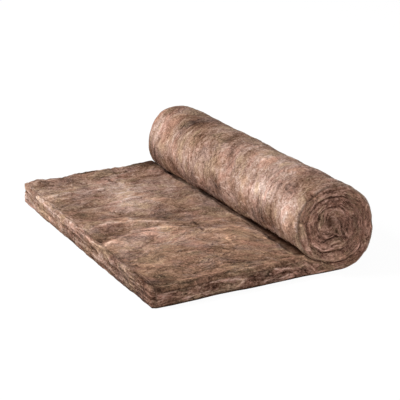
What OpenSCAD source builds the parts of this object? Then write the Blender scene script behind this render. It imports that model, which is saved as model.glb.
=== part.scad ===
// Mineral wool insulation blanket, partly unrolled from its roll.
// One continuous blanket lies flat from its cut end, is pressed thin as it runs in under the roll,
// turns up behind it and winds on itself. The roll has settled on a short flat under its own
// weight, and the laid stretch is fuller along its back edge and in a few soft swells. X runs along
// the laid length towards the roll, Y along the roll's axis, and Z is up from the floor.

/* [Blanket] */
// Width of the blanket, along the roll's axis
blanket_w = 1200; // [300:10:1500]
// Thickness of the blanket where it lies free
blanket_t = 75; // [60:1:100]
// Length that lies flat, from the cut end to under the roll's axis
laid_len = 690; // [400:1:3000]
// Rounding of the blanket's soft long edges
long_edge_r = 18; // [4:1:20]
// Rounding of the edges of the cut end
cut_edge_r = 12; // [3:1:24]

/* [Loft] */
// Rise of the laid blanket's back edge towards the roll
lip_rise = 18; // [6:1:24]
// Half width of the band over which the back edge rises
lip_w = 110; // [80:5:150]
// Height of the largest swell on the laid blanket
swell_h = 13; // [6:1:16]
// Half width of a swell
swell_w = 62; // [50:1:70]
// Length of a swell
swell_len = 320; // [200:10:400]

/* [Roll] */
// Height of the roll, from the floor to the top of its outer turn
roll_h = 322; // [240:2:600]
// Length of the flat on which the settled roll rests
flat_len = 48; // [10:2:70]
// Thickness of one turn as wound
wound_t = 42; // [36:1:52]
// Depth to which each turn presses into the next
press = 4; // [1:0.5:6]
// Smallest radius that the innermost half turn may have
core_r = 6; // [4:1:12]

/* [Hidden] */
$fn = 96;

roll_r = roll_h / 2;
// Behind, a turn is two quarter arcs: a tight one up from the flat and a wide one over the top
low_r = roll_r - flat_len / 2;
high_r = roll_r + flat_len / 2;
part_len = laid_len + high_r;
// Each half turn is this much smaller in radius than the one around it
half_pitch = wound_t / 2;
half_turns = ceil((roll_r - core_r) / half_pitch);
// A turn is as thick as its pitch, and reaches into the next by the press
turn_t = wound_t + press;
soft_r = min(long_edge_r, turn_t / 2 - 1);
// Half turns come down in front about this height
front_centre = roll_r + half_pitch;

// Swells on the laid blanket: place along it and across it as shares of its length and of half its
// width, heading in degrees, and height as a share of the largest
swells = [
    [0.24, 0.04, -6, 1.0],
    [0.46, 0.30, 0, 0.8],
    [0.27, -0.25, -4, 0.7],
    [0.56, -0.39, -18, 0.65],
    [0.33, -0.67, 10, 0.6],
    [0.25, 0.66, -2, 0.7],
];
// Where along the laid length the back edge is fullest, and how far its rise runs to each side
lip_at = 0.9;
lip_len = 1.9 * laid_len;
// Depth to which a swell is rooted in the blanket
root_t = blanket_t / 3;
// Height to which the loft may reach, and the rounding that takes it back to the long edges
loft_t = blanket_t + max(lip_rise, swell_h) + 2;
loft_r = min(soft_r + loft_t - blanket_t, loft_t / 2 - 1);

wool = [0.56, 0.43, 0.36];

// Rectangle about the origin with its corners rounded
module soft_rect(w, h, r) {
    square([w - 2 * r, h], center = true);
    square([w, h - 2 * r], center = true);
    for (x = [-1, 1], y = [-1, 1])
        translate([x * (w / 2 - r), y * (h / 2 - r)]) circle(r);
}

// Section of a turn between two radii. One that reaches the axis is half of a soft rectangle, so
// that it closes the middle of the roll.
module turn_section(inner_r, outer_r) {
    if (inner_r > 0)
        translate([(inner_r + outer_r) / 2, 0])
            soft_rect(outer_r - inner_r, blanket_w, min(soft_r, (outer_r - inner_r) / 2 - 1));
    else
        intersection() {
            soft_rect(2 * outer_r, blanket_w, min(soft_r, outer_r / 2));
            translate([0, -blanket_w / 2]) square([outer_r, blanket_w]);
        }
}

// Part of a turn with a given outer radius, about a centre, from one angle on. Angles run from the
// way in which the blanket is laid, up and over.
module turn_arc(centre_x, centre_z, outer_r, from, angle) {
    translate([centre_x, 0, centre_z])
        rotate([90, -from, 0])
            rotate_extrude(angle = angle) turn_section(max(0, outer_r - turn_t), outer_r);
}

// Half turn number k, counted from the outside, running on from the one before as a spiral
module half_turn(k) {
    shrink = k * half_pitch;
    if (k % 2 == 0) {
        translate([laid_len, 0, shrink + turn_t / 2])
            rotate([90, 0, 90])
                linear_extrude(flat_len) soft_rect(blanket_w, turn_t, soft_r);
        turn_arc(laid_len + flat_len, low_r, low_r - shrink, -90, 90);
        turn_arc(laid_len, low_r, high_r - shrink, 0, 90);
    } else {
        turn_arc(laid_len, front_centre, roll_r - shrink, 90, 180);
    }
}

// The hollow that the roll presses into the laid blanket. It flares at its ends, so that the
// blanket's long edges stay rounded along it.
module roll_hollow() {
    hollow_r = front_centre - turn_t;
    flare_r = hollow_r + soft_r;
    translate([laid_len, 0, front_centre])
        rotate([90, 0, 0])
            rotate_extrude()
                difference() {
                    translate([0, -blanket_w]) square([flare_r, 2 * blanket_w]);
                    translate([hollow_r + roll_r, 0]) soft_rect(2 * roll_r, blanket_w, soft_r);
                }
}

// A laid stretch of a given thickness and edge rounding: its section across the width, run along to
// the roll's axis, and trimmed by its outline from the side, which rounds the cut end
module laid_slab(t, edge_r) {
    intersection() {
        rotate([90, 0, 90])
            linear_extrude(laid_len)
                translate([0, t / 2]) soft_rect(blanket_w, t, edge_r);
        translate([0, blanket_w / 2, 0])
            rotate([90, 0, 0])
                linear_extrude(blanket_w)
                    translate([laid_len, t / 2]) soft_rect(2 * laid_len, t, cut_edge_r);
    }
}

// A long low swell that stands h above the laid blanket. It is part of a barrel that lies almost
// all under the surface, and fades out at its ends and sides.
module swell(x, y, heading, h, half_w, len) {
    top_r = (half_w * half_w + h * h) / (2 * h);
    bow_r = (len * len / 4 + h * h) / (2 * h);
    reach = asin(half_w / top_r) + 4;
    translate([x, y, blanket_t + h - top_r])
        rotate([0, 0, heading])
            rotate([0, 90, 0])
                rotate([0, 0, 180 - reach])
                    rotate_extrude(angle = 2 * reach)
                        intersection() {
                            translate([top_r - bow_r, 0]) circle(bow_r, $fn = 360);
                            translate([top_r - h - root_t, -len / 2]) square([h + root_t, len]);
                        }
}

// What stands up from the laid blanket: the fuller back edge and the swells
module loft() {
    intersection() {
        laid_slab(loft_t, loft_r);
        union() {
            swell(lip_at * laid_len, blanket_w / 2 - lip_w / 3, 0, lip_rise, lip_w, lip_len);
            for (s = swells)
                swell(s[0] * laid_len, s[1] * blanket_w / 2, s[2], s[3] * swell_h, swell_w, swell_len);
        }
    }
}

module wool_blanket() {
    color(wool)
        translate([-part_len / 2, 0, 0]) {
            difference() {
                union() {
                    laid_slab(blanket_t, soft_r);
                    loft();
                }
                roll_hollow();
            }
            for (k = [0 : half_turns - 1]) half_turn(k);
        }
}

wool_blanket();
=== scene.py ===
"""Looks of a partly unrolled mineral wool blanket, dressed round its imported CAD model.

The blanket is one closed soft mesh: its outline from the side is swept across the width, and its
two ends are closed by faces that show the turns of the roll. Loose strands of wool lie on it.
All lengths are in metres, in the frame of the CAD model. A pair of bounds says where a change
starts and where it is complete. A lightness of 1 leads from the darkest wool to the palest.
"""
import math
from collections import namedtuple
from itertools import product

import bpy
import numpy as np
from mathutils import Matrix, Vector
from mathutils.geometry import delaunay_2d_cdt


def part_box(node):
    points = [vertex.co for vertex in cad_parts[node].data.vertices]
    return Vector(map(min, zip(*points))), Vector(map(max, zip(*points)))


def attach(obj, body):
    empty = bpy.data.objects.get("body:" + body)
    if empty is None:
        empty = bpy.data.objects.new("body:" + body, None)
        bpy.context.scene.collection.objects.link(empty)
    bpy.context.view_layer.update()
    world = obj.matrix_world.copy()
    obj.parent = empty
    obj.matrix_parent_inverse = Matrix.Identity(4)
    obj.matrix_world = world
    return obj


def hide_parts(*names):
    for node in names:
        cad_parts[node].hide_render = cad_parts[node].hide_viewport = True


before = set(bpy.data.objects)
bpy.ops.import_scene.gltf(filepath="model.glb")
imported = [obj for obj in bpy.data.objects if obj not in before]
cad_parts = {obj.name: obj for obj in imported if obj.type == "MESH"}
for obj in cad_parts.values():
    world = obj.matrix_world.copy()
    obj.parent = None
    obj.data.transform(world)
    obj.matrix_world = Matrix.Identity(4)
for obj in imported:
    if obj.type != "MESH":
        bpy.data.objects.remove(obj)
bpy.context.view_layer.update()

# Sizes of the blanket, from its CAD node and from the stock it is made of
box_low, box_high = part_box("wool_blanket")
CUT_X = box_low[0]
ROLL_R = box_high[2] / 2
THICK = 0.075
PITCH = 0.042
# The roll has settled on a short flat. Behind, a turn is a tight quarter arc up from the flat and a
# wide one over the top, and it comes down in front as a half circle about a higher centre.
FLAT = 0.048
LOW_R = ROLL_R - FLAT / 2
HIGH_R = ROLL_R + FLAT / 2
FRONT_R = ROLL_R - PITCH / 2
FRONT_Z = ROLL_R + PITCH / 2
AXIS_X = box_high[0] - HIGH_R
LAID = AXIS_X - CUT_X
TURN = 2 * math.pi
TINY = 1e-12


def smoothstep(low, high, value):
    """Zero up to one bound and one from the other on, with a smooth rise between them."""
    part = np.clip((value - low) / (high - low), 0.0, 1.0)
    return part * part * (3.0 - 2.0 * part)


def mix(a, b, share):
    """The value that lies a share of the way from a to b."""
    return a + (b - a) * share


def soft_min(a, b, width):
    """The smaller of two values, rounded off where they cross."""
    return -width * np.logaddexp(-a / width, -b / width)


def bell(value, centre, half):
    """One at the centre, falling away smoothly to both sides."""
    return np.exp(-(((value - centre) / half) ** 2))


def hills(parts, value):
    """Sum of smooth hills, each given by its centre, half width and height."""
    return sum(height * bell(value, centre, half) for centre, half, height in parts)


def slopes(parts, value):
    """Sum of smooth slopes, each given by its two bounds and its height."""
    return sum(height * smoothstep(start, end, value) for start, end, height in parts)


def unit(vectors):
    """The same vectors with a length of 1."""
    return vectors / np.maximum(np.linalg.norm(vectors, axis=-1, keepdims=True), TINY)


# Gradient noise from seeded directions, so that every run gives the same wool
GRADIENT_SEED = 11
GRADIENT_COUNT = 256
GRADIENTS = unit(np.random.default_rng(GRADIENT_SEED).normal(size=(GRADIENT_COUNT, 3)))
CELL_PRIMES = np.array([73856093, 19349663, 83492791], dtype=np.uint64)
SEED_PRIME = 2654435761
WORD_PRIME = np.uint64(1540483477)
WORD_MASK = np.uint64(0xFFFFFFFF)
WORD_SHIFTS = (13, 7, 17)
LAST_SHIFT = np.uint64(11)
# Added to the cells' numbers, so that none is negative
CELL_OFFSET = 4096
NOISE_GAIN = 1.7
CREST_GAIN = 2.2


def hashed(cells, seed):
    """A well mixed number from 0 to 255 for each lattice cell."""
    mixed = cells.astype(np.uint64) * CELL_PRIMES
    word = mixed[:, 0] ^ mixed[:, 1] ^ mixed[:, 2] ^ np.uint64(seed * SEED_PRIME % 2**32)
    for shift in WORD_SHIFTS:
        word = (word ^ (word >> np.uint64(shift))) * WORD_PRIME & WORD_MASK
    return (word >> LAST_SHIFT) % np.uint64(GRADIENT_COUNT)


def noise(a, b, c=0.0, seed=0):
    """Smooth noise with a wavelength of about 1 in each coordinate, mostly between -1 and 1."""
    a, b, c = np.broadcast_arrays(a, b, c)
    points = np.stack([a.ravel(), b.ravel(), c.ravel()], axis=1).astype(float)
    cell = np.floor(points).astype(np.int64)
    part = points - cell
    fade = part**3 * (part * (part * 6.0 - 15.0) + 10.0)
    total = np.zeros(len(points))
    for corner_step in product((0, 1), repeat=3):
        step = np.array(corner_step)
        gradient = GRADIENTS[hashed(cell + step + CELL_OFFSET, seed)]
        weight = np.prod(np.where(step == 1, fade, 1.0 - fade), axis=1)
        total += weight * ((part - step) * gradient).sum(axis=1)
    return (total * NOISE_GAIN).reshape(a.shape)


def ridged(a, b, c=0.0, seed=0):
    """Noise with sharp crests: 1 on a crest and about 0 away from it."""
    return 1.0 - np.minimum(1.0, CREST_GAIN * np.abs(noise(a, b, c, seed)))


# A wave of noise has a seed, a height, and a length along and across. Patches are where such a
# noise rises from a low to a high value. What varies one way only is taken along one row.
Wave = namedtuple("Wave", "seed height long wide", defaults=(1.0,))
Patches = namedtuple("Patches", "seed low high long wide", defaults=(1.0,))
ROW = 0.5


def waves(parts, along, across=ROW):
    """Sum of several waves of noise."""
    return sum(w.height * noise(along / w.long, across / w.wide, seed=w.seed) for w in parts)


def patchy(patches, along, across=ROW):
    """One inside the patches and zero outside them."""
    value = noise(along / patches.long, across / patches.wide, seed=patches.seed)
    return smoothstep(patches.low, patches.high, value)


# Outline from the side. The roll bears on the laid blanket up to a contact, and from there a gap
# opens between them, the nip.
FOOT_R = 0.005
FOOT_STEPS = 5
SHOULDER_R = 0.0155
SHOULDER_STEPS = 6
CONTACT_DX = 0.035
CONTACT_ANGLE = math.asin(CONTACT_DX / FRONT_R)
CONTACT_GAP = 0.001
NIP_GAP = 0.012
NIP_GAP_DX = 0.09
LIP_SOFT = 0.0045
STEP = 0.005
FLOOR_STEP = 0.03
CUT_STEP = 0.004
TOP_SAMPLES = 800
ROLL_SAMPLES = 1200
# The wool bulges a little where the roll bears on the floor: how far out behind, by height
SAG_HEIGHT = (0.0, 0.04, 0.09, 0.16, 0.22, 0.33)
SAG_OUT = (0.013, 0.007, 0.001, -0.002, 0.0, 0.0)
SAG_BEHIND = (0.0, 0.12)


def roll_under(dx):
    """Height of the roll's front lower surface at a distance dx before its axis."""
    inside = np.maximum(FRONT_R**2 - dx**2, 0.0)
    return np.where(dx < FRONT_R, FRONT_Z - np.sqrt(inside), 1.0)


def laid_top(x):
    """Height of the laid blanket's top at x, which dips into the nip under the roll."""
    dx = AXIS_X - x
    gap = mix(CONTACT_GAP, NIP_GAP, smoothstep(CONTACT_DX, NIP_GAP_DX, dx))
    return soft_min(THICK, roll_under(dx) - gap, LIP_SOFT)


def corner(cx, cz, radius, start, end, count):
    """Points on an arc from one angle to another in degrees, without its two ends."""
    turn = np.radians(np.linspace(start, end, count + 1)[1:-1])
    return np.stack([cx + radius * np.cos(turn), cz + radius * np.sin(turn)], axis=1)


def even_steps(points):
    """The same polyline with points an even step apart."""
    along = np.concatenate([[0.0], np.cumsum(np.linalg.norm(np.diff(points, axis=0), axis=1))])
    at = np.linspace(0.0, along[-1], int(round(along[-1] / STEP)) + 1)
    return np.stack([np.interp(at, along, points[:, i]) for i in (0, 1)], axis=1)


def settled(x, z):
    """The same place with the lower back of the roll bulged."""
    return x + np.interp(z, SAG_HEIGHT, SAG_OUT) * smoothstep(*SAG_BEHIND, x - AXIS_X)


def turn_arc(phi):
    """The arc that a winding angle lies on: its centre, its radius on the outer turn, and the turn."""
    turn = np.floor(phi / TURN)
    part = phi - TURN * turn
    in_front = part >= math.pi
    low = part < 0.5 * math.pi
    centre_x = AXIS_X + np.where(low, FLAT, 0.0)
    centre_z = np.where(in_front, FRONT_Z, LOW_R)
    radius = np.where(in_front, FRONT_R, np.where(low, LOW_R, HIGH_R))
    return centre_x, centre_z, radius, turn


def winding_point(phi, inward):
    """A place in the roll: phi is the winding angle from the floor, inward the depth in the turn."""
    centre_x, centre_z, radius, turn = turn_arc(phi)
    radius = np.maximum(radius - turn * PITCH - inward, 0.0)
    z = centre_z - radius * np.cos(phi)
    return settled(centre_x + radius * np.sin(phi), z), z


def side_outline():
    """Points round the blanket seen from its front end, clockwise from the end of the roll's flat."""
    floor_x = np.arange(AXIS_X + FLAT, CUT_X + FOOT_R, -FLOOR_STEP)
    cut_z = np.arange(FOOT_R, THICK - SHOULDER_R, CUT_STEP)
    top_x = np.linspace(CUT_X + SHOULDER_R, AXIS_X - CONTACT_DX, TOP_SAMPLES)
    phi = np.linspace(TURN - CONTACT_ANGLE, 0.0, ROLL_SAMPLES)
    parts = {
        "floor": np.stack([floor_x, np.zeros_like(floor_x)], axis=1),
        "foot": corner(CUT_X + FOOT_R, FOOT_R, FOOT_R, 270, 180, FOOT_STEPS),
        "cut": np.stack([np.full_like(cut_z, CUT_X), cut_z], axis=1),
        "shoulder": corner(CUT_X + SHOULDER_R, THICK - SHOULDER_R, SHOULDER_R, 180, 90, SHOULDER_STEPS),
        "top": even_steps(np.stack([top_x, laid_top(top_x)], axis=1)),
        "roll": even_steps(np.stack(winding_point(phi, 0.0), axis=1))[:-1],
    }
    kinds = np.concatenate([[name] * len(part) for name, part in parts.items()])
    return np.concatenate(list(parts.values())), kinds


def outward(points):
    """Unit normals of a closed clockwise outline, pointing out of it."""
    along = np.roll(points, -1, axis=0) - np.roll(points, 1, axis=0)
    return unit(np.stack([-along[:, 1], along[:, 0]], axis=1))


# For each point of the outline: its place, the stretch it is on, its normal, its distance before the
# roll's axis and its length along the outline
OUTLINE, KIND = side_outline()
OUT_X, OUT_Z = OUTLINE.T
OUT_NORMAL = outward(OUTLINE)
BEFORE_AXIS = AXIS_X - OUT_X
_steps = np.linalg.norm(np.roll(OUTLINE, -1, axis=0) - OUTLINE, axis=1)
ALONG = np.concatenate([[0.0], np.cumsum(_steps)[:-1]])
ON_FLOOR = KIND == "floor"
ON_CUT = np.isin(KIND, ["foot", "cut", "shoulder"])
ON_TOP = KIND == "top"
ON_ROLL = KIND == "roll"
CUT_START, TOP_START, ROLL_START = (ALONG[part][0] for part in (ON_CUT, ON_TOP, ON_ROLL))

# How free each outline point is to be lumpy: none on the floor, and none deep in the nip
NIP_Z = 0.115
NIP_DX = 0.16
NIP_FREE_DX = 0.1
FLOOR_FREE_Z = (0.001, 0.035)
BY_ROLL = (ON_TOP | ON_ROLL) & (BEFORE_AXIS > 0)
IN_NIP = BY_ROLL & (OUT_Z < NIP_Z) & (BEFORE_AXIS < NIP_DX)
NIP_FREE = np.where(IN_NIP, smoothstep(CONTACT_DX, NIP_FREE_DX, BEFORE_AXIS), 1.0)
FLOOR_FREE = np.where(ON_TOP, 1.0, smoothstep(*FLOOR_FREE_Z, OUT_Z))
FREE = np.where(ON_FLOOR, 0.0, NIP_FREE * FLOOR_FREE)

# Rounding of the ends of the width, which grows with height
END_INSET = 0.001
END_Y = box_high[1] - END_INSET
ROW_STEP = 0.006
RIM_STEPS = 5
RIM_TOP = 0.014
RIM_ROLL = 0.006
RIM_FLOOR = 0.003
RIM_NIP = 0.003
RIM_CUT_Z = (0.0, 0.02)
RIM_Z = (0.01, 0.05)
_rim_high = np.where(ON_ROLL, RIM_ROLL, RIM_TOP)
_rim_grown = np.where(ON_CUT, smoothstep(*RIM_CUT_Z, OUT_Z), smoothstep(*RIM_Z, OUT_Z))
RIM = mix(RIM_NIP, mix(RIM_FLOOR, _rim_high, _rim_grown), NIP_FREE)
# The back edge is crisper, and so is the cut end's back corner
BACK_RIM = 0.4
SHARP = 0.85
SHARP_Y = (0.35, 0.55)
# How far each point of the cut end's rounded shoulder lies from a square corner
_to_square = SHOULDER_R * (1.0 / np.abs(OUT_NORMAL).max(axis=1) - 1.0)
TO_SQUARE = np.where(KIND == "shoulder", _to_square, 0.0)

# The nip is filled at the front end, and in part in the middle, where the roll has sunk
FILL_GAP = 0.0015
FILL_SOFT = 0.002
FRONT_END_IN = (0.050, 0.006)
CLOSED_Y = (-0.30, -0.12)
CLOSED_BACK_Y = (0.40, 0.24)
CLOSED_SHARE = 0.80
CLOSED_WAVES = (Wave(57, 0.35, 0.06), Wave(58, 0.15, 0.02))
# The roll's lip over the nip: how far it stands before the axis at the back and at the front, its
# dents across the width, and how far the roll is drawn in behind it
LIP_DX = (0.100, 0.121)
LIP_Y = (0.34, 0.10)
LIP_DENTS = ((-0.17, 0.08, -0.010), (-0.32, 0.07, -0.006))
LIP_WAVES = (Wave(89, 0.005, 0.11), Wave(90, 0.002, 0.03))
UNDERCUT = 0.011
UNDERCUT_DX = 0.070
UNDERCUT_FADE = 0.022
UNDERCUT_Y = (0.58, 0.40)
UNDERCUT_CLOSED = 0.6


def nip_fill(x):
    """How much higher the laid top stands where it meets the roll with no gap."""
    dx = AXIS_X - x
    full = soft_min(THICK, roll_under(dx) - FILL_GAP, FILL_SOFT)
    return np.where((dx < NIP_DX) & (dx > CONTACT_DX), np.maximum(full - laid_top(x), 0.0), 0.0)


NIP_FILL = np.where(ON_TOP, nip_fill(OUT_X), 0.0)


def front_end(y):
    """One at the front end of the width, fading to zero a little way in."""
    return smoothstep(*FRONT_END_IN, y + END_Y)


def nip_closed(y):
    """How far the roll has sunk on to the laid blanket in the middle of the width, in ragged places."""
    middle = smoothstep(*CLOSED_Y, y) * smoothstep(*CLOSED_BACK_Y, y)
    return np.clip(middle * (CLOSED_SHARE + waves(CLOSED_WAVES, y)), 0.0, 1.0)


def roll_lip(y):
    """Distance before the axis at which the roll's front turns under, into the nip."""
    return mix(*LIP_DX, smoothstep(*LIP_Y, y)) + hills(LIP_DENTS, y) + waves(LIP_WAVES, y)


def undercut(y):
    """How far the roll's underside is drawn in behind its lip."""
    lip = roll_lip(y)
    drawn = smoothstep(CONTACT_DX, UNDERCUT_DX, BEFORE_AXIS)
    drawn = drawn * smoothstep(lip, lip - UNDERCUT_FADE, BEFORE_AXIS)
    inner = (1.0 - front_end(y)) * smoothstep(*UNDERCUT_Y, y)
    return np.where(IN_NIP & ON_ROLL, UNDERCUT * drawn * inner * (1.0 - UNDERCUT_CLOSED * nip_closed(y)), 0.0)


def wound_length(phi):
    """Length along the blanket from its cut end to a winding angle."""
    turns = phi / TURN
    return LAID + FLAT * (np.floor(turns) + 1.0) + phi * (ROLL_R - turns * PITCH / 2)


def outline_length():
    """Length along the blanket from its cut end at each outline point."""
    centre_x = np.where((OUT_X > AXIS_X) & (OUT_Z < LOW_R), AXIS_X + FLAT, AXIS_X)
    centre_z = np.where(OUT_X < AXIS_X, FRONT_Z, LOW_R)
    phi = np.arctan2(OUT_X - centre_x, centre_z - OUT_Z) % TURN
    return np.where(ON_ROLL, wound_length(phi), OUT_X - CUT_X)


LENGTH = outline_length()

# How the long edges and the cut end stray from straight lines, with the front edge's bulges by
# length and the cut end's by width
EDGE_WAVES = (Wave(91, 0.0035, 0.20), Wave(92, 0.002, 0.06))
FRONT_EDGE_OUT = 0.001
FRONT_EDGE_HILLS = ((0.07, 0.09, 0.007), (0.73, 0.07, 0.006))
CUT_WAVES = (Wave(93, 0.004, 0.22), Wave(94, 0.0025, 0.07))
CUT_SLOPES = ((0.60, 0.40, 0.005),)
CUT_HILLS = ((0.15, 0.30, 0.002),)


def edge_shift(length, side):
    """How far a long edge of the blanket strays outward, at a length from the cut end."""
    at_front = FRONT_EDGE_OUT + hills(FRONT_EDGE_HILLS, length)
    return waves(EDGE_WAVES, length, ROW * side) + np.where(side < 0, at_front, 0.0)


def cut_shift(y):
    """How far the cut end strays out from a straight line."""
    return slopes(CUT_SLOPES, y) + hills(CUT_HILLS, y) + waves(CUT_WAVES, y)


# The fibres drift about, and towards the front they lie aslant on the laid blanket
ASLANT = 0.28
ASLANT_Y = (0.25, -0.35)
DRIFT_WAVES = (Wave(70, 0.065, 0.34, 0.26), Wave(71, 0.018, 0.11, 0.10))
# Overlapping layers: how they bend, their width, how much of it the steep edge takes, and patches.
# Flakes are small torn layers, and folds long soft ones.
Overlap = namedtuple("Overlap", "bend width steep shown")
FLAKES = Overlap(
    (Wave(50, 0.7, 0.20, 0.09), Wave(51, 0.25, 0.05, 0.04)), 0.075, 0.12, Patches(52, -0.25, 0.5, 0.16, 0.10)
)
FOLDS = Overlap((Wave(40, 0.8, 0.33, 0.20),), 0.14, 0.30, Patches(41, -0.5, 0.4, 0.30, 0.12))


def flow(along, y):
    """Place across the width of the wool that has drifted to y, so that its fibres sweep and curl."""
    laid = np.clip(along - TOP_START, 0.0, LAID)
    return y + ASLANT * laid * smoothstep(*ASLANT_Y, y) + waves(DRIFT_WAVES, along, y)


def sawtooth(value, sharp):
    """Jumps from 0 to 1 at whole numbers and falls back evenly, with the jump softened."""
    part = value - np.floor(value)
    rise = smoothstep(0.0, sharp, part)
    fall = 1.0 - smoothstep(sharp, 1.0, part)
    return np.where(part < sharp, rise, fall)


def overlaps(kind, along, y):
    """Overlapping layers: each has a steep edge on its front side and fades out behind it."""
    lifted = sawtooth(y / kind.width + waves(kind.bend, along, y), kind.steep)
    return (lifted - 0.5) * patchy(kind.shown, along, y)


# Long soft ridges and hollows of the laid blanket: the crest's places from the cut end and across
# the width, its height, how far it reaches to the front and to the back, and its crest's lightness.
# A pale crest line is a painted highlight, and a dark line along a hollow is painted shade.
RIDGES = (
    (
        ((0.00, -0.055), (0.04, -0.020), (0.10, -0.002), (0.165, -0.005), (0.21, -0.030), (0.30, -0.075)),
        0.013, 0.038, 0.10, 0.42,
    ),
    (((0.00, 0.395), (0.12, 0.395), (0.27, 0.385)), 0.008, 0.020, 0.05, 0.30),
    (((0.00, 0.59), (0.33, 0.60), (0.60, 0.58)), 0.010, 0.060, 0.10, 0.0),
    (((0.22, 0.60), (0.45, 0.60), (0.66, 0.60)), 0.012, 0.070, 0.10, 0.0),
    (((0.50, 0.60), (0.66, 0.60)), 0.008, 0.060, 0.10, 0.0),
    (((0.18, 0.08), (0.35, 0.00), (0.56, -0.07)), -0.008, 0.05, 0.06, 0.0),
    (
        ((0.02, -0.19), (0.10, -0.146), (0.168, -0.112), (0.25, -0.12), (0.32, -0.145)),
        0.009, 0.09, 0.03, 0.32,
    ),
    (((0.22, 0.16), (0.30, 0.19), (0.42, 0.17)), 0.008, 0.05, 0.07, 0.10),
    (((0.08, -0.42), (0.30, -0.38), (0.52, -0.33)), 0.006, 0.06, 0.06, 0.0),
    (((0.05, -0.535), (0.25, -0.525), (0.42, -0.535), (0.55, -0.55)), -0.004, 0.016, 0.030, -0.14),
    (((0.30, -0.20), (0.44, -0.22), (0.58, -0.30)), 0.006, 0.05, 0.07, 0.10),
    (((0.02, 0.24), (0.14, 0.23), (0.24, 0.25)), -0.005, 0.03, 0.03, -0.12),
    (((0.05, 0.50), (0.30, 0.505), (0.56, 0.475)), -0.005, 0.025, 0.02, -0.12),
)
# Half width of a crest's pale line, how the crest strays, and where its line fades and to what share
CREST_WIDE = 0.009
CREST_WAVES = (Wave(65, 0.008, 0.06, 0.2), Wave(66, 0.003, 0.02, 0.1))
CREST_BREAKS = Patches(67, -0.9, 0.1, 0.05, 0.05)
CREST_LEAST = 0.4
# How a ridge starts and ends, from its first and last place
RIDGE_START = (-0.05, 0.02)
RIDGE_END = (0.07, -0.02)
# Nicks in the laid blanket, across its length: place, half length, depth and lightness. A dark nick
# has painted shade in it.
NICKS = (
    (0.330, 0.478, 0.028, 0.008, -0.50),
    (0.415, -0.112, 0.028, 0.008, -0.70),
    (0.412, -0.172, 0.016, 0.001, 0.42),
    (0.398, -0.200, 0.020, 0.006, -0.35),
    (0.121, -0.330, 0.110, 0.002, 0.22),
    (0.127, -0.395, 0.045, 0.003, 0.24),
    (0.428, -0.345, 0.060, 0.002, 0.24),
)
# Half width of a nick, how askew it lies, and the share of its length at full depth
NICK_WIDE = 0.0055
NICK_SKEW = 0.12
NICK_FULL = 0.6
# Lighter and darker patches: place, half sizes and lightness. Those of the roll are in degrees
# round from the floor. They are partly the wool's own blotches and partly painted light: painted
# shade in hollows of the laid blanket and under the roll's lip, and painted highlights on the roll.
SHEET_PATCHES = (
    (0.28, 0.18, 0.09, 0.06, 0.24),
    (0.30, 0.36, 0.03, 0.09, 0.20),
    (0.37, 0.33, 0.05, 0.05, 0.10),
    (0.07, 0.13, 0.07, 0.07, -0.26),
    (0.085, -0.095, 0.09, 0.030, -0.30),
    (0.60, 0.54, 0.05, 0.06, -0.26),
    (0.555, 0.58, 0.06, 0.040, -0.50),
    (0.40, -0.14, 0.05, 0.04, -0.16),
    (0.13, -0.35, 0.09, 0.04, -0.18),
    (0.18, 0.57, 0.22, 0.03, -0.10),
    (0.07, 0.30, 0.10, 0.07, -0.12),
    (0.36, 0.02, 0.18, 0.045, -0.20),
    (0.05, -0.13, 0.05, 0.04, -0.16),
    (0.07, -0.55, 0.09, 0.05, -0.22),
    (0.14, 0.03, 0.12, 0.02, 0.12),
    (0.09, -0.21, 0.06, 0.06, 0.22),
    (0.165, -0.51, 0.06, 0.045, 0.15),
    (0.24, -0.14, 0.08, 0.030, 0.20),
    (0.26, -0.24, 0.09, 0.035, 0.18),
    (0.08, -0.50, 0.10, 0.06, -0.15),
    (0.30, -0.47, 0.14, 0.07, -0.10),
    (0.48, -0.30, 0.06, 0.09, 0.10),
    (0.46, -0.55, 0.10, 0.04, -0.14),
)
ROLL_PATCHES = (
    (195, 0.33, 24, 0.08, -0.30),
    (180, 0.19, 14, 0.035, 0.10),
    (205, 0.19, 14, 0.04, -0.14),
    (190, 0.08, 26, 0.055, -0.20),
    (268, -0.045, 9, 0.040, -0.40),
    (250, -0.04, 8, 0.04, 0.12),
    (268, -0.25, 10, 0.05, -0.10),
    (228, 0.18, 12, 0.05, -0.17),
    (246, 0.13, 9, 0.04, -0.10),
    (226, 0.02, 10, 0.05, -0.12),
    (203, -0.10, 14, 0.06, -0.12),
    (193, -0.20, 15, 0.06, 0.14),
    (180, -0.31, 16, 0.06, 0.16),
    (243, -0.38, 12, 0.05, 0.16),
    (270, -0.40, 17, 0.06, -0.26),
    (200, -0.49, 30, 0.060, -0.26),
    (208, -0.58, 16, 0.035, -0.24),
    (246, -0.30, 15, 0.08, 0.20),
    (248, -0.52, 13, 0.06, 0.14),
    (250, 0.33, 18, 0.11, 0.14),
    (205, 0.55, 16, 0.030, -0.12),
    (230, 0.535, 14, 0.045, 0.20),
)
# How ragged the patches are, and how fast they fall off
PATCH_WAVES_X = (Wave(61, 0.030, 0.08, 0.08), Wave(62, 0.012, 0.025, 0.025))
PATCH_WAVES_Y = (Wave(63, 0.030, 0.08, 0.08), Wave(64, 0.012, 0.025, 0.025))
PATCH_FALL = 0.7
# Strength of the marks on the laid blanket and on the roll
SHEET_GAIN = 1.05
ROLL_GAIN = 1.1


def ridge_marks(x, y):
    """Height and lightness of the ridges, at a distance x from the cut end."""
    relief, light = np.zeros_like(x), np.zeros_like(x)
    strayed = y + waves(CREST_WAVES, x, y)
    broken = mix(CREST_LEAST, 1.0, patchy(CREST_BREAKS, x, y))
    for crest, height, front, back, tone in RIDGES:
        crest_x, crest_y = zip(*crest)
        apart = strayed - np.interp(x, crest_x, crest_y)
        shown = smoothstep(*RIDGE_START, x - crest_x[0]) * smoothstep(*RIDGE_END, x - crest_x[-1])
        relief += height * shown * bell(apart, 0.0, np.where(apart < 0, front, back))
        light += tone * shown * broken * bell(apart, 0.0, CREST_WIDE)
    return relief, light


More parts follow.
